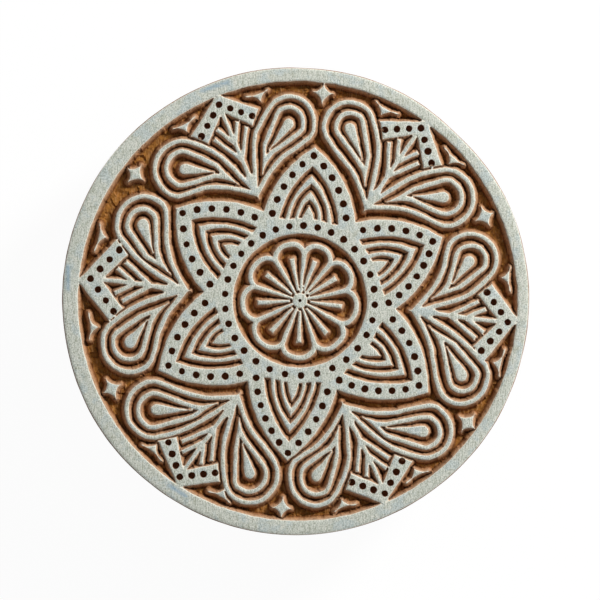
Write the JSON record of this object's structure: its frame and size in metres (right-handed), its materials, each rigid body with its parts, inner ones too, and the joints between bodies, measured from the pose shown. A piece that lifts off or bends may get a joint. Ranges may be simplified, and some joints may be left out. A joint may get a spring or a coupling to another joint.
{
  "type": "wooden printing stamp",
  "caption": "Round hand-carved wooden printing stamp with a raised flower mandala, drilled dots and a nailed grip bar on its back.",
  "frame": {"origin": "centre of the handle's flat top, which the stamp rests on with its carved face up", "axes": "+Z out of the carved face, +X along the handle, +Y up in the pattern as it is seen"},
  "size_m": [0.15, 0.15, 0.05],
  "materials": {
    "block_wood": "carved hardwood, its raised face painted chalk white",
    "handle_wood": "hardwood, planed, waxed and darkened by use",
    "nail_steel": "dull wire nail"
  },
  "bodies": {
    "root": {"carved_block": "block_wood", "handle": "handle_wood", "handle_nails": "nail_steel"}
  },
  "joints": []
}
